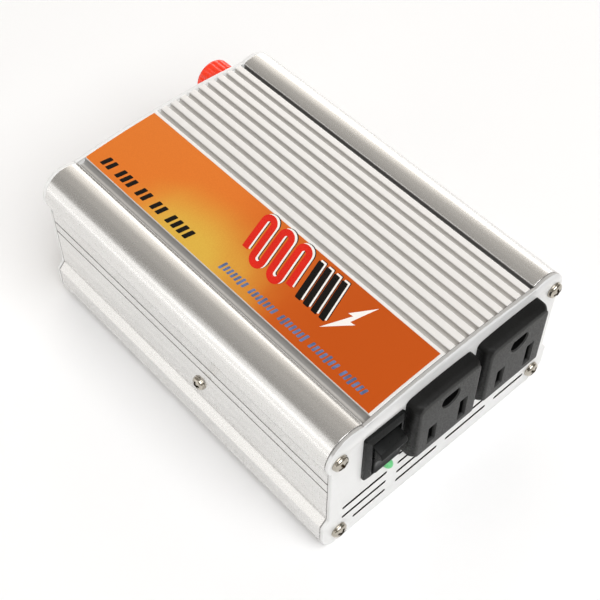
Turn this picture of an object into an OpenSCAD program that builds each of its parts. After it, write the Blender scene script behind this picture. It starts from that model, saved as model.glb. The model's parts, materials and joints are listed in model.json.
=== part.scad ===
// Power inverter: battery voltage in at two binding posts, mains voltage out at two sockets.
// Millimetres. The origin is on the underside at mid-width, 66.5 behind the front panel's outer face.
// -Y is the front with the sockets, +Z is up.

/* [Housing] */
// Length of the aluminium extrusion
shell_l = 128.5; // [125:0.5:150]
// Width across the two foot beads
foot_w = 97; // [96.5:0.1:98]
// Width across the flat side walls
wall_w = 92.3; // [92:0.1:93]
// Height of the arched top at mid-width
crown_z = 56.4; // [56:0.1:58]
// Radius of the arched top
crown_r = 330; // [300:10:400]
// Thickness of each end panel
panel_t = 1.5; // [1.2:0.1:2]

/* [Top ribs] */
// Distance from one rib groove to the next
groove_pitch = 3.93; // [3.9:0.01:3.95]
// Width of a rib groove
groove_w = 1.65; // [1.2:0.05:1.9]
// Depth of a rib groove
groove_d = 1.6; // [1:0.1:1.8]
// Number of rib grooves beside the label
groove_count = 10; // [4:1:10]

/* [Sockets] */
// Width of a socket's face
socket_w = 24.3; // [24:0.1:25]
// How far a socket stands out of the front panel
socket_out = 5.2; // [4:0.1:6]
// Distance between the middles of the two sockets
socket_pitch = 28.6; // [27.2:0.1:29]
// Distance between a socket's two blade slots, as the plug standard sets it
blade_pitch = 12.7; // [12.7]
// Height of the ground hole above the blade slots, as the plug standard sets it
ground_rise = 11.9; // [11.9]

/* [Switch] */
// Width of the switch bezel
bezel_w = 15.2; // [14.8:0.1:15.2]
// Height of the switch bezel
bezel_h = 21.3; // [21:0.1:22]
// Full swing of the rocker, from one side pressed to the other
rocker_swing = 26; // [20:1:26]

/* [Fan] */
// Side of the square fan frame
fan_w = 40; // [40]
// Number of fan blades
blade_count = 7; // [5:1:9]

/* [Binding posts] */
// Radius of a binding post's knob
knob_r = 7; // [6.5:0.1:7.2]
// Length of a knob
knob_l = 8.9; // [8:0.1:9.5]
// Number of grip flutes round a knob
flute_count = 20; // [12:1:24]

/* [Hidden] */
$fn = 64;

// Gap left between pieces that are assembled by hand, and a cut's overshoot past a face
gap = 0.05;
cut = 1;

// Housing section
front_end_y = -65;
end_y = front_end_y + shell_l;
front_y = front_end_y - panel_t;
rear_y = end_y + panel_t;
wall_t = 2.05;
inner_w = wall_w - 2 * wall_t;
top_t = 4;
shoulder_x = 38.7;
shoulder_z = 46.6;
shoulder_r = 8.8;
shoulder_wall = 2.5;
shoulder_step_z = 43.2;
ribbed_half_w = 34.4;
foot_x = foot_w / 2;
foot_h = 15.9;
foot_slope = 2.6;
foot_base_r = 6.5;
flange_in = 35.2;
flange_top = 3;
cover_t = 1.2;
cover_w = 79;
bottom_screw_xs = [-37.2, 37.2];
bottom_screw_ys = [-52, -0.7, 50.6];

// Screw ports, which run the length of the extrusion at its four corners
port_hole_r = 1.5;
ports = [[43.5, 47.1, 3.2], [42.4, 6.8, 3.3]];
port_block_in = 39.1;

// Circuit board and the rails that hold it
board_z = 12;
board_t = 1.6;
board_top = board_z + board_t;
board_half_w = 43.8;
board_y = [-62, 46];
rail_in = 41.6;
rail_gap = 0.15;
rail_t = 1.4;

// Top grooves
groove_first_x = -2.2;
wide_groove = [-34, -31];
wide_groove_d = 1.9;
last_groove_d = 2.2;
side_grooves_z = [31.3, 35.8];
side_groove = [0.45, 0.5];

// Label on its platform between the wide groove and the ribs
label_x = [-31, -3.3];
label_y = [-64.3, 63.3];
label_t = 0.2;

// Pan-head screws
shank_r = 1.45;
head_r = 2.9;
head_h = 1.9;

// Side screws that clamp the transistors to the walls
clamp_y = -9.1;
clamp_z = 23.9;
clamp_head_r = 2.5;
pad_t = 0.5;
mosfet_t = 4.5;
mosfet_w = 10.2;
mosfet_z = 17.5;
mosfet_body_h = 9.2;
mosfet_tab_h = 15.5;
mosfet_tab_t = 1.3;
mosfet_ys = [-31, -19, 1, 13];
bar_t = 3;

// Vent slots in the front panel: rows of height, columns of start and end
vent_h = 1.3;
vent_cols = [[-41.1, -23.2], [-18.8, -0.9], [2.9, 21], [25, 41]];
vent_rows = [12.3, 17.6];
vent_low_z = 7;
vent_low_cols = [[-36.5, -23.2], [-18.8, -0.9], [2.9, 21], [25, 38.8]];
vent_top_z = 22.9;
vent_top_cols = [[-18.8, -0.9], [2.9, 21], [25, 41]];

// Sockets
socket_mid_x = 8.9;
socket_xs = [socket_mid_x - socket_pitch / 2, socket_mid_x + socket_pitch / 2];
blade_z = 32.95;
ground_z = blade_z + ground_rise;
socket_z = [25.3, 50];
socket_flange = [26.4, 25, 50.7, 3];
flange_corner_r = 1.8;
socket_face_t = 3.2;
socket_inner_w = 22;
socket_inner_z = [26.3, 49.6];
socket_back_y = front_y + 16.5;
corner_r = 2.4;
slot_w = 2.2;
slot_heights = [7.4, 9];
lead_in = 0.8;
ground_hole_r = 3.5;
ground_flat = 2.2;
pocket_half = [2.2, 5.5];
ground_pocket_r = 3.8;
contact_front_y = front_y - 1;
contact_back_y = front_y + 13.5;
tab_end_y = front_y + 20.5;

// Rocker switch
switch_x = -26.9;
switch_z = 37.65;
bezel_t = 2;
bezel_bevel = 0.7;
cutout = [13.2, 19.4];
switch_depth = 12;
rocker_r = 9.3;
rocker_pivot_y = front_y + 3.6;
rocker_half_w = 5.1;
rocker_half_h = 6.6;
ridge_angle = 31.8;
rocker_dish = 1.3;
well_half = [5.4, 8.8];
mouth_half_h = 8;
axle_r = 1;
axle_fit = 0.05;

// Pilot light
led_x = -23.5;
led_z = 23.3;
led_r = 1.5;
led_out = 1.8;
led_pin = 1.27;

// Transformer
coil_x = -6;
coil_y = 4;
core_w = 36;
core_h = 30;
core_d = 13;
core_z = 16.5;
leg_half = 6.2;
window = [6.2, 12.6, 19];

// Parts that stand on the board
choke_x = 24;
choke_y = 22;
choke_ring = [7, 2.6];
choke_wire_r = 0.6;
choke_turns = 14;
fuse_x = -31;
fuse_ys = [30, 40];

// Fan, in the rear panel
fan_x = -10;
fan_z = 28;
fan_d = 10;
fan_hole = 16;
fan_bore_r = 18.6;
hub_r = 9.6;
rotor_r = 17.9;
fan_in_y = end_y - fan_d;
guard_wire_r = 0.6;
guard_eye_t = 1.3;
guard_rings = [2.4, 7, 11.6, 16.2];

// Binding posts, red above black
post_x = 31;
post_zs = [42, 17.5];
stud_r = 2.5;
stud_fit = 0.05;
stud_y = [50.5, 77.5];
collar_r = 7.5;
collar_t = 3;
spigot_r = 4;
washer_t = 1;
washer_y = rear_y + collar_t + gap;
knob_y = washer_y + washer_t + gap;
insert_r = 3.6;
ring_y = 57.7;
ring_t = 0.8;
nut_r = 4.6;

// Routes of the leads that run through the air inside
lead_end_z = board_top + 0.15;
red_route = [
    [17, 58.1, 42], [14.3, 57.1, 41.1], [13.1, 53.5, 36.7],
    [13.1, 48.5, 28.5], [13.5, 44.1, 21], [13.5, 42.5, 17], [13.5, 42.5, lead_end_z]
];
black_route = [
    [17, 58.1, 17.5], [14.4, 56.7, 17.6], [14.1, 52.5, 18.2],
    [16.1, 47.5, 18.6], [18.7, 43.1, 17.8], [19.9, 40.9, 14.7]
];
ac_drop = [[0, tab_end_y, blade_z], [0, -44, 31.8], [0, -42.8, 25], [0, -43, 18], [0, -43, lead_end_z]];
switch_tab_zs = [34, 41];
switch_tab_end = front_y + switch_depth + 7;
switch_wire_xs = [-25.5, -28.3];
switch_wire_ys = [-45.4, -42.2];
fan_drop = [[0, fan_in_y - 0.3, 14.8], [0, 50.5, 16.2], [0, 46.5, 16.8], [0, 43.5, 15.6], [0, 43, lead_end_z]];

// ---------- helpers ----------

// Extrudes a drawing of X and Z along Y, from y0 to y1
module along_y(y0, y1) {
    translate([0, y1, 0]) rotate([90, 0, 0]) linear_extrude(y1 - y0) children();
}

// Turns something built up +Z so that it stands along -Y (dir -1) or +Y (dir 1)
module facing_y(dir) {
    rotate([-90 * dir, 0, 0]) children();
}

module both_sides() {
    children();
    mirror([1, 0, 0]) children();
}

module box(low, high) {
    translate(low) cube(high - low);
}

// Block drawn in X and Z with a width, a low and a high edge, about the line x = 0
module upright(w, z0, z1) {
    translate([-w / 2, z0]) square([w, z1 - z0]);
}

module rounded_plan(w, h, r) {
    square([w, h - 2 * r], center = true);
    square([w - 2 * r, h], center = true);
    for (sx = [-1, 1], sy = [-1, 1]) {
        translate([sx * (w / 2 - r), sy * (h / 2 - r)]) circle(r);
    }
}

// Pan-head screw, its head's seat at the origin, its head up +Z and its shank down -Z
module pan_screw(length, radius) {
    difference() {
        union() {
            cylinder(r = radius + 0.25, h = 0.5);
            translate([0, 0, 0.5]) intersection() {
                cylinder(r = radius, h = head_h - 0.5);
                translate([0, 0, head_h - 0.5 - 4.2]) sphere(r = 4.2);
            }
            translate([0, 0, -length]) cylinder(r = shank_r, h = length + 0.1);
        }
        for (turn = [0, 90]) {
            rotate([0, 0, turn]) translate([-1.6, -0.35, head_h - 1.1]) cube([3.2, 0.7, 2]);
        }
    }
}

function unit(v) = v / norm(v);
function tangent(p, i) = unit(p[min(i + 1, len(p) - 1)] - p[max(i - 1, 0)]);

// Point between p[i] and p[i + 1] on a smooth curve through the points
function curve_point(p, i, t) =
    let (a = p[max(i - 1, 0)], b = p[i], c = p[i + 1], d = p[min(i + 2, len(p) - 1)])
    0.5 * (2 * b + (c - a) * t + (2 * a - 5 * b + 4 * c - d) * t * t
        + (3 * b - a - 3 * c + d) * t * t * t);

function smooth_path(p, steps) = concat(
    [for (i = [0:len(p) - 2], k = [0:steps - 1]) curve_point(p, i, k / steps)],
    [p[len(p) - 1]]
);

function ring_points(p, i, r, side, n) =
    let (t = tangent(p, i), u = unit(cross(side, t)), w = cross(t, u))
    [for (k = [0:n - 1]) p[i] + r * (cos(360 * k / n) * u + sin(360 * k / n) * w)];

// Insulated wire along a route; side is a direction that the route never follows
module wire(route, r, side) {
    n = 8;
    p = smooth_path(route, 3);
    rings = len(p);
    points = [for (i = [0:rings - 1]) each ring_points(p, i, r, side, n)];
    walls = [
        for (i = [0:rings - 2], k = [0:n - 1])
        let (next = (k + 1) % n)
        [i * n + k, (i + 1) * n + k, (i + 1) * n + next, i * n + next]
    ];
    start = [for (k = [0:n - 1]) k];
    end = [for (k = [n - 1:-1:0]) (rings - 1) * n + k];
    polyhedron(points, concat([start, end], walls));
}

// ---------- housing ----------

module crown_disc(r) {
    translate([0, crown_z - crown_r]) circle(r, $fn = 200);
}

function crown_at(x) = crown_z - crown_r + sqrt(crown_r * crown_r - x * x);

module foot_profile() {
    inner_x = foot_x - foot_base_r;
    translate([inner_x, foot_base_r]) circle(foot_base_r);
    polygon([
        [inner_x, foot_base_r],
        [foot_x, foot_base_r],
        [foot_x, foot_h - foot_slope],
        [foot_x - foot_slope, foot_h],
        [inner_x, foot_h],
    ]);
}

module outer_profile() {
    upright(wall_w, foot_base_r, shoulder_z);
    upright(2 * (foot_x - foot_base_r), 0, foot_base_r + 1);
    intersection() {
        crown_disc(crown_r);
        upright(2 * ribbed_half_w, shoulder_z - 1, crown_z + cut);
    }
    both_sides() {
        foot_profile();
        intersection() {
            translate([shoulder_x, shoulder_z]) circle(shoulder_r);
            translate([shoulder_x - shoulder_r, shoulder_step_z]) square([2 * shoulder_r, 20]);
        }
    }
}

module groove(x0, w, d) {
    x = x0 + w / 2;
    floor_z = crown_at(x) - d;
    translate([x, floor_z + w / 2]) circle(w / 2);
    translate([x0, floor_z + w / 2]) square([w, crown_z]);
}

module groove_profile() {
    groove(wide_groove[0], wide_groove[1] - wide_groove[0], wide_groove_d);
    for (k = [0:groove_count - 1]) {
        d = k == groove_count - 1 ? last_groove_d : groove_d;
        groove(groove_first_x + groove_pitch * k, groove_w, d);
    }
    both_sides() {
        for (z = side_grooves_z) {
            translate([wall_w / 2 - side_groove[1], z - side_groove[0] / 2]) square([cut, side_groove[0]]);
        }
    }
}

module cavity_profile() {
    difference() {
        union() {
            upright(inner_w, flange_top, shoulder_z);
            intersection() {
                crown_disc(crown_r - top_t);
                upright(2 * shoulder_x, shoulder_z - 1, crown_z);
            }
            both_sides() translate([shoulder_x, shoulder_z]) circle(shoulder_r - shoulder_wall);
        }
        both_sides() {
            for (p = ports) {
                translate([p[0], p[1]]) circle(p[2]);
            }
            translate([port_block_in, flange_top - cut]) square([6, ports[1][1] - flange_top + cut]);
            translate([rail_in, ports[1][1]]) square([4, board_z - rail_gap - ports[1][1]]);
            translate([rail_in, board_top + rail_gap]) square([4, rail_t]);
        }
    }
    upright(2 * flange_in, -cut, flange_top + cut);
    upright(cover_w + 0.3, -cut, cover_t + gap);
}

module port_holes_profile(r) {
    both_sides() {
        for (p = ports) {
            translate([p[0], p[1]]) circle(r);
        }
    }
}

module housing_shell() {
    color("silver") difference() {
        along_y(front_end_y, end_y) difference() {
            outer_profile();
            cavity_profile();
            groove_profile();
            port_holes_profile(port_hole_r);
        }
        both_sides() {
            translate([0, clamp_y, clamp_z]) rotate([0, 90, 0]) cylinder(r = port_hole_r + 0.1, h = foot_x + cut);
        }
        for (x = bottom_screw_xs, y = bottom_screw_ys) {
            translate([x, y, -cut]) cylinder(r = 1.25, h = flange_top + 2 * cut);
        }
    }
}

module bottom_cover() {
    color("lightgray") difference() {
        box([-cover_w / 2, front_end_y + 0.1, 0], [cover_w / 2, end_y - 0.1, cover_t]);
        for (x = bottom_screw_xs, y = bottom_screw_ys) {
            translate([x, y, -cut]) cylinder(r = 1.3, h = cover_t + 2 * cut);
            translate([x, y, -gap]) cylinder(r1 = 2.1 + gap, r2 = 1.25, h = 0.9);
        }
    }
}

module bottom_screws() {
    color("gainsboro") {
        for (x = bottom_screw_xs, y = bottom_screw_ys) {
            translate([x, y, 0]) difference() {
                union() {
                    cylinder(r1 = 2, r2 = 1.2, h = 0.8);
                    cylinder(r = 1.2, h = 4.5);
                }
                for (turn = [0, 90]) {
                    rotate([0, 0, turn]) translate([-1.1, -0.25, -cut]) cube([2.2, 0.5, cut + 0.5]);
                }
            }
        }
    }
}

module top_label() {
    color("darkorange") along_y(label_y[0], label_y[1]) intersection() {
        difference() {
            crown_disc(crown_r + 0.01 + label_t);
            crown_disc(crown_r + 0.01);
        }
        translate([label_x[0], shoulder_z]) square([label_x[1] - label_x[0], 20]);
    }
}

// ---------- end panels ----------

module slot_profile(x0, x1, z, h) {
    translate([x0 + h / 2, z - h / 2]) square([x1 - x0 - h, h]);
    for (x = [x0 + h / 2, x1 - h / 2]) {
        translate([x, z]) circle(h / 2, $fn = 24);
    }
}

module vent_profile() {
    for (z = vent_rows, c = vent_cols) {
        slot_profile(c[0], c[1], z, vent_h);
    }
    for (c = vent_low_cols) {
        slot_profile(c[0], c[1], vent_low_z, vent_h);
    }
    for (c = vent_top_cols) {
        slot_profile(c[0], c[1], vent_top_z, vent_h);
    }
}

module front_panel() {
    color("white") along_y(front_y, front_end_y) difference() {
        outer_profile();
        port_holes_profile(port_hole_r + 0.2);
        vent_profile();
        for (x = socket_xs) {
            translate([x, 0]) upright(socket_inner_w + 0.2, socket_inner_z[0] - 0.1, socket_inner_z[1] + 0.1);
        }
        translate([switch_x, switch_z]) square(cutout, center = true);
        translate([led_x, led_z]) circle(led_r + 0.1);
    }
}

module rear_panel() {
    color("white") along_y(end_y, rear_y) difference() {
        outer_profile();
        port_holes_profile(port_hole_r + 0.2);
        translate([fan_x, fan_z]) circle(fan_bore_r - 0.4);
        for (sx = [-1, 1], sz = [-1, 1]) {
            translate([fan_x + sx * fan_hole, fan_z + sz * fan_hole]) circle(1.7);
        }
        for (z = post_zs) {
            translate([post_x, z]) circle(spigot_r + gap);
        }
    }
}

module panel_screws(y, dir) {
    both_sides() {
        for (p = ports) {
            translate([p[0], y, p[1]]) facing_y(dir) pan_screw(9, head_r);
        }
    }
}

module front_panel_screws() {
    color("gainsboro") panel_screws(front_y, -1);
}

module rear_panel_screws() {
    color("gainsboro") panel_screws(rear_y, 1);
}

// ---------- sockets ----------

// Upright block with its two top corners rounded
module arched(w, z0, z1, r) {
    upright(w, z0, z1 - r);
    upright(w - 2 * r, z0, z1);
    for (side = [-1, 1]) {
        translate([side * (w / 2 - r), z1 - r]) circle(r);
    }
}

// One socket about x = 0: flange and face outside the panel, body with contact pockets inside
module outlet() {
    out_y = front_y - socket_out;
    half = blade_pitch / 2;
    difference() {
        union() {
            along_y(out_y, front_y) arched(socket_w, socket_z[0], socket_z[1], corner_r);
            along_y(front_y - socket_flange[3], front_y) {
                arched(socket_flange[0], socket_flange[1], socket_flange[2], flange_corner_r);
            }
            along_y(front_y - gap, socket_back_y) {
                upright(socket_inner_w, socket_inner_z[0], socket_inner_z[1]);
            }
            for (side = [-1, 1]) {
                translate([side * socket_inner_w / 2, front_end_y + 1.3, blade_z + 4]) {
                    cube([1.4, 2.4, 5], center = true);
                }
            }
        }
        for (k = [0, 1]) {
            x = k == 0 ? -half : half;
            h = slot_heights[k];
            along_y(out_y - cut, out_y + socket_face_t + cut) translate([x, blade_z]) {
                square([slot_w, h], center = true);
            }
            along_y(out_y - cut, out_y + lead_in) translate([x, blade_z]) {
                square([slot_w + 1.6, h + 1.2], center = true);
            }
            along_y(out_y + socket_face_t, socket_back_y + cut) translate([x, blade_z]) {
                square(2 * pocket_half, center = true);
            }
        }
        along_y(out_y - cut, out_y + socket_face_t + cut) intersection() {
            translate([0, ground_z]) circle(ground_hole_r);
            upright(4 * ground_hole_r, ground_z - 2 * ground_hole_r, ground_z + ground_flat);
        }
        along_y(out_y + socket_face_t, socket_back_y + cut) translate([0, ground_z]) {
            circle(ground_pocket_r);
        }
    }
}

module outlet_left() {
    color("#2b2a29") translate([socket_xs[0], 0, 0]) outlet();
}

module outlet_right() {
    color("#2b2a29") translate([socket_xs[1], 0, 0]) outlet();
}

module blade_contact() {
    along_y(contact_front_y, contact_back_y) {
        for (side = [-1, 1]) {
            translate([side * 1.35, blade_z]) square([0.8, 7.2], center = true);
        }
    }
    along_y(contact_back_y - 0.1, contact_back_y + 0.7) translate([0, blade_z]) {
        square([3.5, 7.2], center = true);
    }
    along_y(contact_back_y + 0.6, tab_end_y) translate([0, blade_z]) square([0.8, 4.8], center = true);
}

module ground_contact() {
    along_y(contact_front_y, contact_back_y) translate([0, ground_z]) difference() {
        circle(3.6);
        circle(3.05);
    }
    along_y(contact_back_y - 0.1, contact_back_y + 0.7) translate([0, ground_z]) circle(3.6);
    along_y(contact_back_y + 0.6, tab_end_y) translate([0, ground_z]) square([4.8, 0.8], center = true);
}

module outlet_contacts() {
    color("goldenrod") {
        for (x = socket_xs) {
            translate([x - blade_pitch / 2, 0, 0]) blade_contact();
            translate([x + blade_pitch / 2, 0, 0]) blade_contact();
            translate([x, 0, 0]) ground_contact();
        }
    }
}

// ---------- switch and pilot light ----------

// Block about the switch's middle, given by its half sizes, from y0 to y1
module switch_block(half_w, half_h, y0, y1) {
    box([switch_x - half_w, y0, switch_z - half_h], [switch_x + half_w, y1, switch_z + half_h]);
}

module switch_body() {
    back_y = front_y + switch_depth;
    color("#222222") difference() {
        union() {
            switch_block(bezel_w / 2, bezel_h / 2, front_y - bezel_t + bezel_bevel, front_y);
            switch_block(bezel_w / 2 - bezel_bevel, bezel_h / 2 - bezel_bevel, front_y - bezel_t, front_y);
            switch_block(cutout[0] / 2 - 0.1, cutout[1] / 2 - 0.1, front_y - gap, back_y);
        }
        switch_block(well_half[0], mouth_half_h, front_y - bezel_t - cut, front_y + cut);
        switch_block(well_half[0], well_half[1], front_y - bezel_t + 1.2, back_y - 1.5);
        translate([switch_x, rocker_pivot_y, switch_z]) rotate([0, 90, 0]) {
            cylinder(r = axle_r + axle_fit, h = 2 * (well_half[0] + 0.6), center = true);
        }
        for (z = switch_tab_zs) {
            box([switch_x - 2.5, back_y - 2, z - 0.5], [switch_x + 2.5, back_y + cut, z + 0.5]);
        }
    }
}

// Rocker in its middle position, about its axle, drawn in Y (first) and Z
module rocker_profile() {
    ridge = [-rocker_r * cos(ridge_angle), rocker_r * sin(ridge_angle)];
    dish_r = (ridge[1] * ridge[1] + rocker_dish * rocker_dish) / (2 * rocker_dish);
    difference() {
        intersection() {
            circle(rocker_r);
            translate([-rocker_r, -rocker_half_h]) square([rocker_r - 1, 2 * rocker_half_h]);
        }
        translate([ridge[0] + rocker_dish - dish_r, 0]) circle(dish_r);
    }
    circle(2.2);
    translate([-3, -2.2]) square([3, 4.4]);
}

module switch_rocker() {
    color("#181818") translate([switch_x, rocker_pivot_y, switch_z]) rotate([rocker_swing / 2, 0, 0]) {
        rotate([90, 0, 90]) translate([0, 0, -rocker_half_w]) linear_extrude(2 * rocker_half_w) {
            rocker_profile();
        }
        rotate([0, 90, 0]) cylinder(r = axle_r, h = 2 * (well_half[0] + 0.5), center = true);
    }
}

module switch_terminals() {
    back_y = front_y + switch_depth;
    color("goldenrod") {
        for (z = switch_tab_zs) {
            box([switch_x - 2.4, back_y - 1.5, z - 0.4], [switch_x + 2.4, switch_tab_end, z + 0.4]);
        }
    }
}

module power_led() {
    color("mediumseagreen") translate([led_x, front_end_y + gap, led_z]) facing_y(-1) {
        cylinder(r = led_r, h = led_out + panel_t - led_r);
        translate([0, 0, led_out + panel_t - led_r]) sphere(r = led_r);
        translate([0, 0, -1]) cylinder(r = led_r + 0.4, h = 1);
        translate([0, 0, -3.4]) cylinder(r = led_r, h = 2.5);
    }
}

module led_leads() {
    y = front_end_y + 3.4 + 2 * gap;
    color("silver") {
        for (side = [-1, 1]) {
            translate([side * led_pin / 2 + led_x, 0, 0]) {
                box([-0.25, y, led_z - 0.25], [0.25, y + 0.9, led_z + 0.25]);
                box([-0.25, y + 0.4, board_top + gap], [0.25, y + 0.9, led_z + 0.25]);
            }
        }
    }
}

// ---------- board and what stands on it ----------

module circuit_board() {
    color("darkgreen") box([-board_half_w, board_y[0], board_z], [board_half_w, board_y[1], board_top]);
}

module transformer_core() {
    color("dimgray") translate([coil_x, 0, core_z]) along_y(coil_y - core_d / 2, coil_y + core_d / 2) {
        difference() {
            upright(core_w, 0, core_h);
            both_sides() {
                translate([window[0], (core_h - window[2]) / 2]) {
                    square([window[1] - window[0], window[2]]);
                }
            }
        }
    }
}

module transformer_winding() {
    z0 = core_z + (core_h - window[2]) / 2 + 0.2;
    color("khaki") translate([coil_x, coil_y, z0]) linear_extrude(window[2] - 0.4) difference() {
        rounded_plan(2 * window[1] - 0.4, 2 * core_d, 3);
        square([2 * leg_half + 0.4, core_d + 0.4], center = true);
    }
}

module transformer_base() {
    color("black") translate([coil_x, coil_y, board_top + gap]) {
        linear_extrude(core_z - board_top - 2 * gap) rounded_plan(core_w - 4, 2 * core_d, 2);
    }
}

// Can capacitor standing at x, y, with a rolled groove near its foot
module can_capacitor(x, y, r, h) {
    translate([x, y, board_top + gap]) difference() {
        cylinder(r = r, h = h);
        translate([0, 0, 2.4]) rotate_extrude() translate([r, 0]) circle(0.5, $fn = 24);
        translate([0, 0, h - 0.3]) cylinder(r = r - 1.2, h = cut);
    }
}

module input_capacitors() {
    color("darkslateblue") {
        can_capacitor(-14, 34, 5.2, 20);
        can_capacitor(-1, 34, 5.2, 20);
    }
}

module bus_capacitor() {
    color("darkslategray") can_capacitor(24, -14, 9, 30);
}

module choke_core() {
    color("gold") translate([choke_x, choke_y, board_top + 4]) rotate_extrude() {
        translate([choke_ring[0], 0]) circle(choke_ring[1]);
    }
}

module choke_winding() {
    loop_r = choke_ring[1] + choke_wire_r + 0.1;
    color("chocolate") translate([choke_x, choke_y, board_top + 4]) {
        for (k = [0:choke_turns - 1]) {
            rotate([0, 0, 360 * k / choke_turns]) translate([choke_ring[0], 0, 0]) rotate([90, 0, 0]) {
                rotate_extrude() translate([loop_r, 0]) circle(choke_wire_r, $fn = 24);
            }
        }
    }
}

module chip(x, y) {
    leg_x = 2.54;
    box([x - 9.6, y - 3.2, board_top + 0.6], [x + 9.6, y + 3.2, board_top + 4]);
    for (k = [-3:3], side = [-1, 1]) {
        translate([x + k * leg_x, y + side * 3.5, board_top + gap + 1]) {
            cube([0.5, 0.7, 2], center = true);
        }
    }
}

module control_chips() {
    color("#303030") {
        chip(-8, -36);
        chip(-8, -24);
    }
}

module buzzer() {
    color("#151515") translate([-28, -34, board_top + gap]) difference() {
        cylinder(r = 6, h = 8.5);
        translate([0, 0, 6]) cylinder(r = 1.2, h = 3.5);
    }
}

module blade_fuses() {
    color("orange") {
        for (y = fuse_ys) {
            box([fuse_x - 7, y - 2, board_top + 6], [fuse_x + 7, y + 2, board_top + 13]);
            for (side = [-1, 1]) {
                translate([fuse_x + side * 4.5, y, board_top + 4.2]) cube([4, 0.7, 4], center = true);
            }
        }
    }
}

module fuse_clips() {
    color("silver") {
        for (y = fuse_ys, side = [-1, 1]) {
            translate([fuse_x + side * 4.5, y, board_top + gap]) difference() {
                translate([-2.4, -1.3, 0]) cube([4.8, 2.6, 5]);
                translate([-2.4 - cut, -0.45, 1]) cube([4.8 + 2 * cut, 0.9, 5]);
            }
        }
    }
}

// ---------- transistors on the side walls ----------

module mosfet_row() {
    wall_x = inner_w / 2 - pad_t;
    for (y = mosfet_ys) {
        box([wall_x - mosfet_tab_t, y - mosfet_w / 2, mosfet_z],
            [wall_x, y + mosfet_w / 2, mosfet_z + mosfet_tab_h]);
        box([wall_x - mosfet_t, y - mosfet_w / 2, mosfet_z],
            [wall_x - mosfet_tab_t + gap, y + mosfet_w / 2, mosfet_z + mosfet_body_h]);
        for (k = [-1:1]) {
            box([wall_x - 2.8, y + 2.54 * k - 0.4, board_top + gap],
                [wall_x - 2.3, y + 2.54 * k + 0.4, mosfet_z + gap]);
        }
    }
}

module left_mosfets() {
    color("#252525") mirror([1, 0, 0]) mosfet_row();
}

module right_mosfets() {
    color("#252525") mosfet_row();
}

module insulating_pads() {
    y0 = mosfet_ys[0] - mosfet_w / 2 - 1;
    y1 = mosfet_ys[3] + mosfet_w / 2 + 1;
    color("lightblue") both_sides() difference() {
        box([inner_w / 2 - pad_t + 0.01, y0, mosfet_z - 0.5], [inner_w / 2, y1, mosfet_z + mosfet_tab_h + 1]);
        translate([0, clamp_y, clamp_z]) rotate([0, 90, 0]) cylinder(r = port_hole_r + 0.1, h = foot_x);
    }
}

module clamp_bars() {
    x1 = inner_w / 2 - pad_t - mosfet_t;
    y0 = mosfet_ys[0] - 4;
    y1 = mosfet_ys[3] + 4;
    color("silver") both_sides() difference() {
        box([x1 - bar_t, y0, clamp_z - 3], [x1, y1, clamp_z + 2.4]);
        translate([0, clamp_y, clamp_z]) rotate([0, 90, 0]) cylinder(r = shank_r + gap, h = foot_x);
    }
}

module clamp_screws() {
    length = wall_w / 2 - (inner_w / 2 - pad_t - mosfet_t - bar_t) + 1.5;
    color("gainsboro") both_sides() {
        translate([wall_w / 2, clamp_y, clamp_z]) rotate([0, 90, 0]) pan_screw(length, clamp_head_r);
    }
}

// ---------- fan ----------

module on_fan(y) {
    translate([fan_x, y, fan_z]) facing_y(1) children();
}

module fan_frame() {
    color("#1c1c1c") on_fan(fan_in_y) difference() {
        union() {
            difference() {
                linear_extrude(fan_d) rounded_plan(fan_w, fan_w, 2.5);
                translate([0, 0, -cut]) cylinder(r = fan_bore_r, h = fan_d + 2 * cut);
            }
            cylinder(r = hub_r, h = 1.4);
            for (k = [0:3]) {
                rotate([0, 0, 45 + 90 * k]) translate([hub_r - 1, -1.1, 0]) cube([fan_bore_r - hub_r + 2, 2.2, 1.4]);
            }
        }
        translate([0, 0, -cut]) cylinder(r = axle_r + axle_fit, h = fan_d);
        for (sx = [-1, 1], sy = [-1, 1]) {
            translate([sx * fan_hole, sy * fan_hole, -cut]) cylinder(r = port_hole_r, h = fan_d + 2 * cut);
        }
    }
}

module fan_rotor() {
    low = 1.8;
    high = fan_d - 0.8;
    tilt = 42;
    color("#141414") on_fan(fan_in_y) {
        difference() {
            union() {
                translate([0, 0, low]) cylinder(r = hub_r, h = high - low);
                translate([0, 0, 0.2]) cylinder(r = axle_r, h = low);
            }
            translate([0, 0, high - 0.6]) cylinder(r = hub_r - 1.6, h = cut);
        }
        for (k = [0:blade_count - 1]) {
            rotate([0, 0, 360 * k / blade_count]) intersection() {
                difference() {
                    translate([0, 0, low + 0.3]) cylinder(r = rotor_r, h = high - low - 0.6);
                    translate([0, 0, low]) cylinder(r = hub_r - 0.3, h = high - low);
                }
                translate([0, 0, (low + high) / 2]) rotate([tilt, 0, 0]) {
                    translate([hub_r - 1.5, -0.5, -8]) cube([rotor_r, 1, 16]);
                }
            }
        }
    }
}

module fan_guard() {
    leg_z = guard_wire_r + gap;
    color("lightgray") on_fan(rear_y) difference() {
        union() {
            for (r = guard_rings) {
                translate([0, 0, leg_z + 0.5]) rotate_extrude() translate([r, 0]) circle(guard_wire_r, $fn = 24);
            }
            for (k = [0:3]) {
                rotate([0, 0, 45 + 90 * k]) {
                    translate([2, 0, leg_z]) rotate([0, 90, 0]) cylinder(r = guard_wire_r, h = 18, $fn = 24);
                    translate([fan_hole * sqrt(2), 0, 0]) cylinder(r = 2.9, h = guard_eye_t);
                }
            }
        }
        for (sx = [-1, 1], sy = [-1, 1]) {
            translate([sx * fan_hole, sy * fan_hole, -cut]) cylinder(r = 1.7, h = 4);
        }
    }
}

module fan_screws() {
    color("gainsboro") on_fan(rear_y + guard_eye_t) {
        for (sx = [-1, 1], sy = [-1, 1]) {
            translate([sx * fan_hole, sy * fan_hole, 0]) pan_screw(10, 2.5);
        }
    }
}

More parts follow.
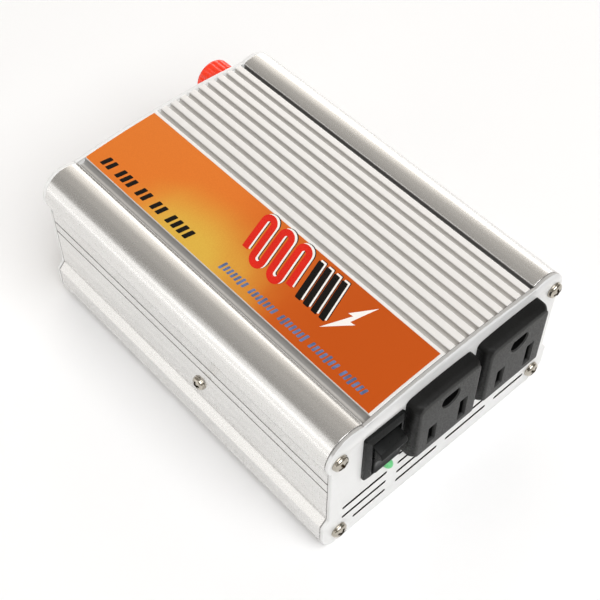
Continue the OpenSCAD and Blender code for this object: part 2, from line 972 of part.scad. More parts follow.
// ---------- binding posts ----------

module at_post(k, y) {
    translate([post_x, y, post_zs[k]]) facing_y(1) children();
}

module post_collar(k) {
    at_post(k, rear_y) difference() {
        union() {
            cylinder(r = collar_r, h = collar_t);
            translate([0, 0, -panel_t]) cylinder(r = spigot_r, h = panel_t + 0.1);
        }
        translate([0, 0, -panel_t - cut]) cylinder(r = stud_r + 0.1, h = 10);
    }
}

module red_post_collar() {
    color("firebrick") post_collar(0);
}

module black_post_collar() {
    color("#202020") post_collar(1);
}

module post_inner_washers() {
    color("#3a3a3a") {
        for (k = [0, 1]) {
            at_post(k, end_y - 1.5) difference() {
                cylinder(r = 6.5, h = 1.5 - gap);
                translate([0, 0, -cut]) cylinder(r = stud_r + 0.1, h = 4);
            }
        }
    }
}

module post_studs() {
    color("goldenrod") {
        for (k = [0, 1]) {
            at_post(k, stud_y[0]) cylinder(r = stud_r, h = stud_y[1] - stud_y[0]);
        }
    }
}

module post_nuts() {
    h = 3.4;
    color("gainsboro") {
        for (k = [0, 1], y = [ring_y - h - gap, ring_y + ring_t + gap]) {
            at_post(k, y) difference() {
                cylinder(r = nut_r, h = h, $fn = 6);
                translate([0, 0, -cut]) cylinder(r = stud_r + 0.02, h = 6);
            }
        }
    }
}

module clamp_washer(k) {
    at_post(k, washer_y) difference() {
        cylinder(r = 5.4, h = washer_t);
        translate([0, 0, -cut]) cylinder(r = stud_r + 0.08, h = 4);
    }
}

module red_clamp_washer() {
    color("gainsboro") clamp_washer(0);
}

module black_clamp_washer() {
    color("gainsboro") clamp_washer(1);
}

module knob(k) {
    chamfer = 0.8;
    nose = [2.1, 1.5];
    flute_l = 6.6;
    at_post(k, knob_y) difference() {
        rotate_extrude() polygon([
            [insert_r, 0], [knob_r - chamfer, 0], [knob_r, chamfer],
            [knob_r, knob_l - nose[1]], [knob_r - 0.5, knob_l - 0.6],
            [knob_r - nose[0], knob_l], [insert_r, knob_l]
        ]);
        for (n = [0:flute_count - 1]) {
            rotate([0, 0, 360 * n / flute_count]) translate([knob_r + 0.25, 0, -cut]) {
                cylinder(r = 0.65, h = flute_l + cut, $fn = 24);
            }
        }
    }
}

module knob_insert(k) {
    at_post(k, knob_y) difference() {
        cylinder(r = insert_r - 0.02, h = knob_l - 0.6);
        translate([0, 0, -cut]) cylinder(r = stud_r + stud_fit, h = 2 * knob_l);
    }
}

module red_knob() {
    color("red") knob(0);
}

module red_knob_insert() {
    color("goldenrod") knob_insert(0);
}

module black_knob() {
    color("#1a1a1a") knob(1);
}

module black_knob_insert() {
    color("goldenrod") knob_insert(1);
}

// ---------- leads ----------

// Ring terminal on a post's stud, its barrel towards -X
module ring_terminal(k) {
    z = post_zs[k];
    difference() {
        union() {
            at_post(k, ring_y) cylinder(r = 4.8, h = ring_t);
            box([post_x - 9, ring_y, z - 1.8], [post_x - 3.5, ring_y + ring_t, z + 1.8]);
            translate([post_x - 14, ring_y + ring_t / 2, z]) rotate([0, 90, 0]) cylinder(r = 2.2, h = 5.5);
        }
        at_post(k, ring_y - cut) cylinder(r = stud_r + 0.1, h = 4);
    }
}

module red_lead() {
    color("red") {
        ring_terminal(0);
        wire(red_route, 1.6, [0, 1, -1]);
    }
}

module black_lead() {
    color("black") {
        ring_terminal(1);
        wire(black_route, 1.6, [0.3, 0.1, -1]);
    }
}

module ac_leads() {
    color("ivory") {
        for (x = socket_xs, side = [-1, 1]) {
            translate([x + side * blade_pitch / 2, 0.3, 0]) wire(ac_drop, 0.8, [1, 0, 0]);
        }
    }
}

module switch_leads() {
    color("ivory") {
        for (k = [0, 1]) {
            x = switch_wire_xs[k];
            y = switch_wire_ys[k];
            z = switch_tab_zs[k];
            start = [x, switch_tab_end + 0.4, z];
            wire([start, [x, y - 0.6, z - 1.2], [x, y, z - 5], [x, y, 20], [x, y, lead_end_z]], 0.9, [1, 0, 0]);
        }
    }
}

module fan_leads() {
    color("tomato") {
        for (x = [-22, -20.4]) {
            translate([x, 0, 0]) wire(fan_drop, 0.6, [1, 0, 0]);
        }
    }
}

housing_shell();
bottom_cover();
bottom_screws();
top_label();
front_panel();
front_panel_screws();
rear_panel();
rear_panel_screws();
outlet_left();
outlet_right();
outlet_contacts();
switch_body();
switch_rocker();
switch_terminals();
power_led();
led_leads();
circuit_board();
transformer_core();
transformer_winding();
transformer_base();
input_capacitors();
bus_capacitor();
choke_core();
choke_winding();
control_chips();
buzzer();
blade_fuses();
fuse_clips();
left_mosfets();
right_mosfets();
insulating_pads();
clamp_bars();
clamp_screws();
fan_frame();
fan_rotor();
fan_guard();
fan_screws();
red_post_collar();
black_post_collar();
post_inner_washers();
post_studs();
post_nuts();
red_clamp_washer();
black_clamp_washer();
red_knob();
red_knob_insert();
black_knob();
black_knob_insert();
red_lead();
black_lead();
ac_leads();
switch_leads();
fan_leads();
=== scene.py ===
"""Looks of the power inverter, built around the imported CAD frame.

Lengths are in millimetres until add() turns a mesh into metres. Numbers in materials, lights and the camera
are in metres.
"""

import json
import math

import bmesh
import bpy
from mathutils import Matrix, Vector
from mathutils.geometry import tessellate_polygon


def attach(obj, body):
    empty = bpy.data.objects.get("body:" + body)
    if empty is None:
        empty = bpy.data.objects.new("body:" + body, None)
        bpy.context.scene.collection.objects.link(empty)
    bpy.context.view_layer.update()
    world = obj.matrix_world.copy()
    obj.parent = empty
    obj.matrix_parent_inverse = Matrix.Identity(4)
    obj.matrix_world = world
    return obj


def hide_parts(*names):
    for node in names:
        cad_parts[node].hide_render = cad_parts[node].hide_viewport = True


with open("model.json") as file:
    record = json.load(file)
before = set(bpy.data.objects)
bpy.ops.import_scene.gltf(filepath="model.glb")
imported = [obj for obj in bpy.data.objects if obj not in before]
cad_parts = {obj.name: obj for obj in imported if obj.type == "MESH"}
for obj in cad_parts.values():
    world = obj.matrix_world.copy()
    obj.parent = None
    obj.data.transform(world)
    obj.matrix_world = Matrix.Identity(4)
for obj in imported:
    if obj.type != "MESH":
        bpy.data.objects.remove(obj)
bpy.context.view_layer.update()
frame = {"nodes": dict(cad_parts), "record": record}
SCENE = bpy.context.scene

# ---------- sizes that the pieces share, as in the CAD source ----------


def reach(node):
    """Lowest and highest y of a CAD node."""
    ys = [v.co.y * 1000 for v in frame["nodes"][node].data.vertices]
    return round(min(ys), 2), round(max(ys), 2)


FRONT_Y, FRONT_END = reach("front_panel")
REAR_END, REAR_Y = reach("rear_panel")
CROWN_Z, CROWN_R = 56.4, 330.0
SOCKET_XS = (-5.4, 23.2)
BLADE_Z, GROUND_Z, BLADE_HALF = 32.95, 44.85, 6.35
SOCKET_FACE_Y = FRONT_Y - 5.2
SWITCH_X, SWITCH_Z = -26.9, 37.65
PIVOT_Y = FRONT_Y + 3.6
PORTS = ((43.5, 47.1), (42.4, 6.8))
CLAMP_Y, CLAMP_Z, WALL_X = -9.1, 23.9, 46.15
FAN_X, FAN_Z, FAN_HOLE = -10.0, 28.0, 16.0
POST_X, POST_ZS = 31.0, (42.0, 17.5)
VENTS_X, VENTS_Z = 41.3, (5.0, 23.7)
LABEL_X = (-31.0, -3.3)
LABEL_MIDDLE = -12.8
SLANT = 0.34
PRINT_LOW = 0.12


def crown(x):
    return CROWN_Z - CROWN_R + math.sqrt(CROWN_R * CROWN_R - x * x)


# ---------- mesh helpers ----------


def add(name, bm, material, body, nodes=(), sharp=35, second=None):
    """Makes the object of a bmesh in millimetres, with edges sharper than that angle kept crisp."""
    bmesh.ops.remove_doubles(bm, verts=bm.verts, dist=0.0004)
    bmesh.ops.recalc_face_normals(bm, faces=bm.faces)
    bmesh.ops.scale(bm, vec=(0.001, 0.001, 0.001), verts=bm.verts)
    limit = math.radians(sharp)
    for f in bm.faces:
        f.smooth = True
    for e in bm.edges:
        e.smooth = len(e.link_faces) == 2 and e.calc_face_angle(0) < limit
    me = bpy.data.meshes.new(name)
    bm.to_mesh(me)
    bm.free()
    ob = bpy.data.objects.new(name, me)
    SCENE.collection.objects.link(ob)
    me.materials.append(material)
    if second:
        me.materials.append(second)
    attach(ob, body)
    if nodes:
        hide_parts(*nodes)
    return ob


def ring_faces(bm, a, b):
    n = len(a)
    for i in range(n):
        j = (i + 1) % n
        bm.faces.new((a[i], a[j], b[j], b[i]))


def loft(bm, rings, closed=False):
    """Skin over rings of points of one length, capped at both ends; closed joins the last ring to the first."""
    made = [[bm.verts.new(p) for p in ring] for ring in rings]
    for a, b in zip(made, made[1:]):
        ring_faces(bm, a, b)
    if closed:
        ring_faces(bm, made[-1], made[0])
    else:
        bm.faces.new(made[0])
        bm.faces.new(made[-1])


def placed(centre, direction):
    """Maps a point built up +Z at the origin to one built along that axis from the centre."""
    turn = Vector((0, 0, 1)).rotation_difference(Vector(direction)).to_matrix().to_4x4()
    return Matrix.Translation(centre) @ turn


def revolve(bm, profile, matrix, n=48, closed=False):
    """Turns a profile of (radius, height) about the axis. An open profile starts and ends on the axis."""
    turns = [2 * math.pi * k / n for k in range(n)]
    rings = []
    for r, h in profile:
        r = max(r, 0.0005)
        rings.append([matrix @ Vector((r * math.cos(a), r * math.sin(a), h)) for a in turns])
    loft(bm, rings, closed=closed)


def arc(cx, cy, r, a0, a1, steps):
    """Points of an arc from a0 to a1 degrees."""
    angles = [math.radians(a0 + (a1 - a0) * k / steps) for k in range(steps + 1)]
    return [(cx + r * math.cos(a), cy + r * math.sin(a)) for a in angles]


def rounded(w, h, r, steps=4, cx=0.0, cy=0.0):
    """Outline of a rounded rectangle, counter-clockwise."""
    r = max(r, 0.01)
    x, y = w / 2 - r, h / 2 - r
    return [
        (cx + p, cy + q)
        for px, py, a in ((x, y, 0), (-x, y, 90), (-x, -y, 180), (x, -y, 270))
        for p, q in arc(px, py, r, a, a + 90, steps)
    ]


def signed_area(loop):
    return sum(a[0] * b[1] - b[0] * a[1] for a, b in zip(loop, loop[1:] + loop[:1])) / 2


def cap_loops(node, y):
    """Outlines, as lists of (x, z), of a CAD node's flat face at that y, the outer one first."""
    bm = bmesh.new()
    bm.from_mesh(frame["nodes"][node].data)
    bmesh.ops.scale(bm, vec=(1000, 1000, 1000), verts=bm.verts)
    bmesh.ops.remove_doubles(bm, verts=bm.verts, dist=0.002)
    bm.edges.index_update()
    flat = {f for f in bm.faces if all(abs(v.co.y - y) < 0.002 for v in f.verts)}
    rim = [e for e in bm.edges if sum(f in flat for f in e.link_faces) == 1]
    around = {}
    for e in rim:
        for v in e.verts:
            around.setdefault(v, []).append(e)
    left, loops = {e.index: e for e in rim}, []
    while left:
        e = left.pop(min(left))
        first, v = e.verts
        loop = [(v.co.x, v.co.z)]
        while v != first:
            e = next(x for x in around[v] if x.index in left)
            del left[e.index]
            v = e.other_vert(v)
            loop.append((v.co.x, v.co.z))
        loops.append(loop)
    bm.free()
    loops.sort(key=lambda q: -abs(signed_area(q)))
    return loops


def eased(loop, radius, steps=3, corner=25):
    """Rounds a loop's corners that turn more than that angle."""
    out, n = [], len(loop)
    for i in range(n):
        p = Vector(loop[i])
        u, v = Vector(loop[i - 1]) - p, Vector(loop[(i + 1) % n]) - p
        lu, lv = u.length, v.length
        if lu < 1e-6 or lv < 1e-6:
            continue
        u.normalize()
        v.normalize()
        turn = math.pi - u.angle(v)
        if turn < math.radians(corner):
            out.append((p.x, p.y))
            continue
        t = min(radius * math.tan(turn / 2), 0.45 * lu, 0.45 * lv)
        for k in range(steps + 1):
            s = k / steps
            q = p + u * t * (1 - s) ** 2 + v * t * s**2
            out.append((q.x, q.y))
    return out


def offset(loop, d):
    """Moves a loop's points by d to the left of its direction."""
    out, n = [], len(loop)
    for i in range(n):
        p = Vector(loop[i])
        a, b = p - Vector(loop[i - 1]), Vector(loop[(i + 1) % n]) - p
        a.normalize()
        b.normalize()
        na, nb = Vector((-a.y, a.x)), Vector((-b.y, b.x))
        m = na + nb
        if m.length < 1e-6:
            m = na
        m = m / max(1 + na.dot(nb), 0.4)
        q = p + m * d
        out.append((q.x, q.y))
    return out


def plate(bm, loops, y0, y1, outer_round, hole_round, steps=3):
    """Prism of loops of (x, z), outer first, between y0 and y1, with its face edges rounded."""
    ends = [[], []]
    for i, loop in enumerate(loops):
        if (signed_area(loop) > 0) != (i == 0):
            loop = loop[::-1]
        r = outer_round if i == 0 else hole_round
        levels = []
        for k in range(steps + 1):
            a = math.pi / 2 * k / steps
            levels.append((y0 + r * (1 - math.cos(a)), r * (1 - math.sin(a))))
        # a ring just inside keeps the long faces' shading level
        levels.append((y0 + r + 0.05, 0.0))
        levels += [(y0 + y1 - y, d) for y, d in reversed(levels)]
        rings = [[bm.verts.new((x, y, z)) for x, z in offset(loop, d)] for y, d in levels]
        for a, b in zip(rings, rings[1:]):
            ring_faces(bm, a, b)
        ends[0].append(rings[0])
        ends[1].append(rings[-1])
    for rims in ends:
        flat = [v for rim in rims for v in rim]
        for a, b, c in tessellate_polygon([[v.co for v in rim] for rim in rims]):
            if len({a, b, c}) == 3:
                bm.faces.new((flat[a], flat[b], flat[c]))


def carve(bm, cutter):
    """The first bmesh less the second, by Blender's exact boolean."""
    objects = []
    for part in (bm, cutter):
        bmesh.ops.recalc_face_normals(part, faces=part.faces)
        me = bpy.data.meshes.new("carving")
        part.to_mesh(me)
        part.free()
        ob = bpy.data.objects.new("carving", me)
        SCENE.collection.objects.link(ob)
        objects.append(ob)
    mod = objects[0].modifiers.new("cut", "BOOLEAN")
    mod.operation, mod.solver, mod.object = "DIFFERENCE", "EXACT", objects[1]
    bpy.context.view_layer.update()
    done = objects[0].evaluated_get(bpy.context.evaluated_depsgraph_get())
    out = bmesh.new()
    out.from_mesh(done.data)
    for ob in objects:
        me = ob.data
        bpy.data.objects.remove(ob)
        bpy.data.meshes.remove(me)
    return out


def merge(bm, part, matrix=None):
    """Adds a copy of a bmesh, moved by the matrix."""
    me = bpy.data.meshes.new("copy")
    part.to_mesh(me)
    if matrix is not None:
        me.transform(matrix)
    bm.from_mesh(me)
    bpy.data.meshes.remove(me)


# ---------- materials ----------


class Graph:
    """A material's node tree, with short calls for the nodes it needs."""

    def __init__(self, name, color, metallic, roughness, **shader):
        self.material = bpy.data.materials.new(name)
        self.material.use_nodes = True
        self.tree = self.material.node_tree
        self.bsdf = self.tree.nodes["Principled BSDF"]
        self.bsdf.inputs["Base Color"].default_value = (*color, 1)
        self.bsdf.inputs["Metallic"].default_value = metallic
        self.bsdf.inputs["Roughness"].default_value = roughness
        for key, value in shader.items():
            self.bsdf.inputs[key].default_value = value
        self.coords = self.tree.nodes.new("ShaderNodeTexCoord").outputs["Object"]

    def link(self, a, b):
        self.tree.links.new(a, b)

    def scaled(self, x, y, z):
        node = self.tree.nodes.new("ShaderNodeMapping")
        node.inputs["Scale"].default_value = (x, y, z)
        self.link(self.coords, node.inputs["Vector"])
        return node.outputs["Vector"]

    def noise(self, scale, detail=3.0, stretch=(1, 1, 1), rough=0.55):
        node = self.tree.nodes.new("ShaderNodeTexNoise")
        node.inputs["Scale"].default_value = scale
        node.inputs["Detail"].default_value = detail
        node.inputs["Roughness"].default_value = rough
        self.link(self.scaled(*stretch), node.inputs["Vector"])
        return node.outputs["Fac"]

    def cells(self, scale):
        node = self.tree.nodes.new("ShaderNodeTexVoronoi")
        node.inputs["Scale"].default_value = scale
        self.link(self.coords, node.inputs["Vector"])
        return node.outputs["Distance"]

    def ramp(self, value, low, high, a, b):
        """Smooth step from a to b as the value goes from low to high."""
        node = self.tree.nodes.new("ShaderNodeMapRange")
        node.interpolation_type = "SMOOTHSTEP"
        for key, number in (("From Min", low), ("From Max", high), ("To Min", a), ("To Max", b)):
            node.inputs[key].default_value = number
        self.link(value, node.inputs["Value"])
        return node.outputs["Result"]

    def math(self, kind, a, b=0):
        node = self.tree.nodes.new("ShaderNodeMath")
        node.operation = kind
        for socket, value in zip(node.inputs, (a, b)):
            if isinstance(value, (int, float)):
                socket.default_value = value
            else:
                self.link(value, socket)
        return node.outputs[0]

    def add(self, a, b):
        return self.math("ADD", a, b)

    def less(self, a, b):
        return self.math("SUBTRACT", a, b)

    def times(self, a, b):
        return self.math("MULTIPLY", a, b)

    def size(self, a):
        return self.math("ABSOLUTE", a)

    def axis(self, which):
        """The x, y or z of the point, in metres."""
        node = self.tree.nodes.new("ShaderNodeSeparateXYZ")
        self.link(self.coords, node.inputs[0])
        return node.outputs[which]

    def mix(self, factor, a, b):
        node = self.tree.nodes.new("ShaderNodeMix")
        node.data_type = "RGBA"
        self.link(factor, node.inputs["Factor"])
        for key, value in (("A", a), ("B", b)):
            socket = next(s for s in node.inputs if s.name == key and s.type == "RGBA")
            if isinstance(value, tuple):
                socket.default_value = (*value, 1)
            else:
                self.link(value, socket)
        return next(s for s in node.outputs if s.type == "RGBA")

    def set(self, key, output):
        self.link(output, self.bsdf.inputs[key])

    def bump(self, height, depth_mm, strength=1.0):
        node = self.tree.nodes.new("ShaderNodeBump")
        node.inputs["Distance"].default_value = depth_mm * 0.001
        node.inputs["Strength"].default_value = strength
        self.link(height, node.inputs["Height"])
        self.set("Normal", node.outputs["Normal"])


def shade(color, share):
    return tuple(min(1.0, c * share) for c in color)


def surface(
    name,
    color,
    metallic,
    roughness,
    grain,
    depth,
    vary=0.06,
    rough_vary=0.08,
    stretch=(1, 1, 1),
    cloud=90,
    **shader,
):
    """A material with slow colour variation, fine-grained roughness and a bump of that depth in mm.

    grain and cloud are the fine and slow noises' sizes, per metre; vary and rough_vary are how far they reach.
    """
    g = Graph(name, color, metallic, roughness, **shader)
    slow = g.noise(cloud, 4, stretch)
    fine = g.noise(grain, 3, stretch)
    g.set("Base Color", g.mix(g.ramp(slow, 0.3, 0.7, 0, 1), shade(color, 1 - vary), shade(color, 1 + vary)))
    g.set("Roughness", g.ramp(fine, 0.3, 0.7, roughness - rough_vary, roughness + rough_vary))
    g.bump(fine, depth)
    return g.material


def make_aluminium():
    """Extruded and satin anodised: die lines along the length and a fine sparkle, with painted light on the pale
    rib tops and painted shade in the duller grooves, the wide groove, the last groove and the side slits.
    """
    color = (0.74, 0.73, 0.715)
    g = Graph("shell_aluminium", color, 0.85, 0.25)
    x, z = g.axis("X"), g.axis("Z")
    lines = g.noise(240, 5, (1, 0.010, 1), 0.65)
    grain = g.noise(2100, 2)
    sparkle = g.ramp(g.cells(1000), 0.0, 0.20, 1, 0)
    slow = g.noise(30, 3, (1, 0.3, 1))
    tone = g.mix(g.ramp(lines, 0.3, 0.7, 0, 1), shade(color, 0.94), shade(color, 1.05))
    tone = g.mix(g.ramp(slow, 0.35, 0.7, 0, 0.3), tone, (0.79, 0.78, 0.765))
    # painted highlight on the ribs' tops and painted shade in the grooves between them, told apart by their depth
    # under the crown
    sag = g.times(g.times(x, x), 1 / (2 * CROWN_R * 0.001))
    depth = g.less(g.less(CROWN_Z * 0.001, sag), z)
    middle = g.ramp(g.size(g.less(x, 0.0004)), 0.0344, 0.0346, 1, 0)
    top = g.times(middle, g.ramp(depth, 0.0002, 0.0005, 1, 0))
    sunk = g.times(g.times(middle, g.ramp(depth, 0.0002, 0.0007, 0, 1)), g.ramp(depth, 0.0030, 0.0034, 1, 0))
    tone = g.mix(top, tone, (0.85, 0.835, 0.82))
    tone = g.mix(sunk, tone, (0.56, 0.54, 0.515))
    # painted shade as a dark band in the wide groove beside the label, and painted shade in the dark last groove
    aside = g.size(g.add(x, 0.0325))
    wide_groove_shade = g.times(g.ramp(aside, 0.0002, 0.0006, 0, 1), g.ramp(aside, 0.0015, 0.0016, 1, 0))
    tone = g.mix(g.times(wide_groove_shade, g.ramp(depth, 0.0004, 0.0008, 0, 1)), tone, (0.34, 0.33, 0.32))
    tone = g.mix(g.times(sunk, g.ramp(x, 0.0325, 0.0328, 0, 1)), tone, (0.17, 0.165, 0.16))
    # painted shade in the two slits along each side wall
    slit_z = g.size(g.less(g.size(g.less(z, 0.03355)), 0.00225))
    slit = g.times(g.ramp(slit_z, 0.00026, 0.00034, 1, 0), g.ramp(g.size(x), 0.04617, 0.04625, 1, 0))
    tone = g.mix(g.times(slit, g.ramp(g.size(x), 0.0440, 0.0450, 0, 1)), tone, (0.22, 0.215, 0.205))
    g.set("Base Color", tone)
    matte = g.add(top, sunk)
    g.set("Metallic", g.less(g.ramp(slow, 0.3, 0.7, 0.83, 0.87), g.times(matte, 0.55)))
    rough = g.add(g.ramp(grain, 0.3, 0.7, 0.21, 0.29), g.times(top, 0.20))
    rough = g.add(rough, g.times(sunk, 0.25))
    g.set("Roughness", g.less(rough, g.times(sparkle, 0.08)))
    g.bump(g.add(g.times(lines, 0.9), g.times(grain, 0.12)), 0.012, 0.8)
    return g.material


def make_label():
    """Printed film: deep orange, with painted light making it lighter orange behind, and a yellow glow on its
    left.
    """
    deep, light, glow = (0.50, 0.080, 0.007), (0.72, 0.185, 0.024), (0.68, 0.42, 0.060)
    g = Graph("label_print", deep, 0, 0.34, **{"Specular IOR Level": 0.12})
    drift = g.times(g.less(g.noise(45, 2), 0.5), 0.022)
    along = g.add(g.axis("Y"), drift)
    # painted light: the film brightens from deep orange in front to lighter orange behind
    base = g.mix(g.ramp(along, -0.040, 0.030, 0, 1), deep, light)
    # the glow is an ellipse about a point at the film's left edge
    dy = g.times(g.less(along, 0.012), 1 / 0.032)
    dx = g.times(g.add(g.axis("X"), 0.031), 1 / 0.021)
    far = g.math("SQRT", g.add(g.times(dx, dx), g.times(dy, dy)))
    base = g.mix(g.ramp(far, 0.15, 1.15, 1, 0), base, glow)
    speckle = g.noise(2600, 2)
    g.set("Base Color", g.mix(g.ramp(speckle, 0.35, 0.65, 0, 0.10), base, shade(deep, 0.9)))
    g.set("Roughness", g.ramp(speckle, 0.3, 0.7, 0.29, 0.39))
    g.bump(speckle, 0.004)
    return g.material


def make_socket_plastic():
    """Black plastic with a coarse moulded grain, with painted light making the face greyer than its shaded sides
    and top.
    """
    color = (0.005, 0.005, 0.0048)
    g = Graph("socket_plastic", color, 0, 0.5, **{"Specular IOR Level": 0.2})
    grain = g.noise(1700, 2, rough=0.6)
    tone = g.mix(g.ramp(g.noise(120, 3), 0.3, 0.7, 0, 1), shade(color, 0.8), shade(color, 1.25))
    # painted light and shade: the face is greyer, and the sides and top behind it are darker
    depth = g.add(g.less(g.axis("Y"), SOCKET_FACE_Y * 0.001), g.times(grain, 0.0004))
    g.set("Base Color", g.mix(g.ramp(depth, 0.00045, 0.0011, 1, 0), tone, (0.040, 0.040, 0.039)))
    g.set("Roughness", g.ramp(grain, 0.3, 0.7, 0.40, 0.62))
    g.bump(grain, 0.07)
    return g.material


def make_panel_paint():
    """White powder coat with painted shade greying it toward the top, bare on the sheet's cut edge there, and
    painted shade dark along the seams.
    """
    g = Graph("panel_paint", (0.86, 0.86, 0.855), 0, 0.36)
    fine = g.noise(700, 3)
    tone = g.mix(g.ramp(g.noise(40, 4), 0.3, 0.7, 0, 1), (0.755, 0.755, 0.75), (0.785, 0.785, 0.78))
    y, z = g.axis("Y"), g.axis("Z")
    inward = g.less(y, FRONT_Y * 0.001)
    in_front = g.math("LESS_THAN", inward, 0.01)
    # painted shade: the front face greys toward its top
    tone = g.mix(g.times(g.ramp(z, 0.0490, 0.0545, 0, 0.7), in_front), tone, (0.58, 0.585, 0.59))
    ragged = g.add(inward, g.times(g.noise(420, 3, rough=0.7), 0.0005))
    edge = g.times(g.times(g.ramp(ragged, 0.00058, 0.00072, 0, 1), in_front), g.ramp(z, 0.0515, 0.0525, 0, 1))
    tone = g.mix(edge, tone, (0.42, 0.41, 0.40))
    # painted shade in the gap between the front panel and the shell
    seam_shade = g.times(g.ramp(inward, 0.00120, 0.00130, 0, 1), in_front)
    tone = g.mix(seam_shade, tone, (0.33, 0.325, 0.32))
    # painted shade in the gap between the rear panel and the shell, kept below the ribs
    rear = g.ramp(y, (REAR_END + 0.2) * 0.001, (REAR_END + 0.3) * 0.001, 1, 0)
    rear = g.times(g.times(rear, g.ramp(z, 0.0440, 0.0455, 1, 0)), g.math("GREATER_THAN", y, 0.01))
    tone = g.mix(rear, tone, (0.16, 0.155, 0.15))
    g.set("Base Color", tone)
    g.set("Roughness", g.ramp(fine, 0.3, 0.7, 0.3, 0.42))
    g.bump(fine, 0.010)
    return g.material


DULL = {"Specular IOR Level": 0.15}
DEAD = {"Specular IOR Level": 0.02}
ALUMINIUM = make_aluminium()
LABEL = make_label()
SOCKET = make_socket_plastic()
PAINT = make_panel_paint()
NICKEL = surface("screw_nickel", (0.47, 0.435, 0.375), 1, 0.2, 1300, 0.010, 0.12, 0.08, cloud=500)
# painted shade: a dark brown material for the screws' recesses
RECESS_SHADE = surface("screw_recess_shade", (0.07, 0.05, 0.03), 1, 0.35, 1300, 0.010, 0.3, 0.08, cloud=700)
SWITCH = surface("switch_plastic", (0.0055, 0.006, 0.006), 0, 0.34, 1100, 0.010, 0.15, 0.08, **DULL)
BRASS = surface("contact_brass", (0.70, 0.50, 0.20), 1, 0.30, 1200, 0.006, 0.10)
LED = surface("led_green", (0.16, 0.60, 0.24), 0, 0.30, 500, 0.004, 0.06, cloud=500)
TINNED = surface("tinned_wire", (0.72, 0.72, 0.70), 1, 0.35, 1500, 0.006, 0.08)
SHEET_ALUMINIUM = surface("cover_aluminium", (0.74, 0.74, 0.73), 1, 0.36, 300, 0.008, 0.06, 0.08, (1, 0.02, 1))
BOARD = surface("board_green", (0.03, 0.17, 0.07), 0, 0.35, 700, 0.02, 0.25, cloud=260)
FERRITE = surface("ferrite", (0.07, 0.07, 0.075), 0.2, 0.6, 1400, 0.03, 0.2)
TAPE = surface("winding_tape", (0.78, 0.62, 0.18), 0, 0.32, 300, 0.02, 0.08, 0.06, (1, 1, 8))
MOULDED = surface("black_plastic", (0.03, 0.03, 0.031), 0, 0.5, 1300, 0.02, 0.2)
SLEEVE = surface("capacitor_sleeve", (0.035, 0.045, 0.15), 0, 0.28, 500, 0.01, 0.15)
POWDER = surface("choke_powder", (0.66, 0.52, 0.10), 0, 0.55, 900, 0.03, 0.12)
COPPER = surface("copper_enamel", (0.60, 0.24, 0.08), 0.9, 0.25, 900, 0.005, 0.1)
AMBER = surface("fuse_amber", (0.80, 0.26, 0.04), 0, 0.2, 400, 0.005, 0.08)
SILICONE = surface("silicone_pad", (0.42, 0.50, 0.56), 0, 0.7, 1200, 0.02, 0.08)
FAN_BLACK = surface("fan_plastic", (0.028, 0.028, 0.030), 0, 0.42, 900, 0.012, 0.15)
CHROME = surface("guard_chrome", (0.80, 0.80, 0.80), 1, 0.14, 800, 0.004, 0.05, 0.05)
RED = surface("red_plastic", (0.92, 0.045, 0.014), 0, 0.26, 500, 0.010, 0.06, 0.06)
POST_BLACK = surface("post_black", (0.022, 0.022, 0.022), 0, 0.26, 500, 0.010, 0.15, 0.06)
RED_PVC = surface("red_insulation", (0.62, 0.03, 0.02), 0, 0.45, 800, 0.015, 0.1)
BLACK_PVC = surface("black_insulation", (0.02, 0.02, 0.02), 0, 0.45, 800, 0.015, 0.15)
WHITE_PVC = surface("white_insulation", (0.78, 0.76, 0.70), 0, 0.5, 800, 0.015, 0.05)
FILM = surface("label_film", (0.72, 0.66, 0.60), 0, 0.35, 900, 0.004, 0.03)
SHADOW = surface("slot_walls", (0.0025, 0.0025, 0.0025), 0, 0.8, 900, 0.01, 0.2, **DEAD)
INK_RED = surface("ink_red", (0.66, 0.020, 0.010), 0, 0.32, 2200, 0.003, 0.06, **DULL)
INK_BLACK = surface("ink_black", (0.006, 0.005, 0.004), 0, 0.34, 2200, 0.003, 0.2, **DULL)
INK_WHITE = surface("ink_white", (0.86, 0.82, 0.78), 0, 0.34, 2200, 0.003, 0.03)
INK_BLUE = surface("ink_blue", (0.11, 0.16, 0.30), 0, 0.34, 2200, 0.003, 0.25, cloud=400, **DULL)

BY_SLOT = {
    "shell_aluminium": ALUMINIUM,
    "cover_aluminium": SHEET_ALUMINIUM,
    "panel_paint": PAINT,
    "label_print": FILM,
    "screw_nickel": NICKEL,
    "socket_plastic": SOCKET,
    "switch_plastic": SWITCH,
    "contact_brass": BRASS,
    "led_green": LED,
    "tinned_wire": TINNED,
    "board_green": BOARD,
    "ferrite": FERRITE,
    "winding_tape": TAPE,
    "black_plastic": MOULDED,
    "capacitor_sleeve": SLEEVE,
    "choke_powder": POWDER,
    "copper_enamel": COPPER,
    "fuse_amber": AMBER,
    "silicone_pad": SILICONE,
    "fan_plastic": FAN_BLACK,
    "guard_chrome": CHROME,
    "red_plastic": RED,
    "post_black": POST_BLACK,
    "red_insulation": RED_PVC,
    "black_insulation": BLACK_PVC,
    "white_insulation": WHITE_PVC,
}

for part in frame["record"]["subparts"]:
    ob = frame["nodes"][part["node"]]
    ob.data.materials.clear()
    ob.data.materials.append(BY_SLOT[part["material_slot"]])

# ---------- housing ----------


def build_shell():
    bm = bmesh.new()
    loops = [eased(q, 0.28) for q in cap_loops("housing_shell", FRONT_END)]
    plate(bm, loops, FRONT_END, REAR_END, 0.14, 0.05, 2)
    add("case_extrusion", bm, ALUMINIUM, "case", ["housing_shell"])


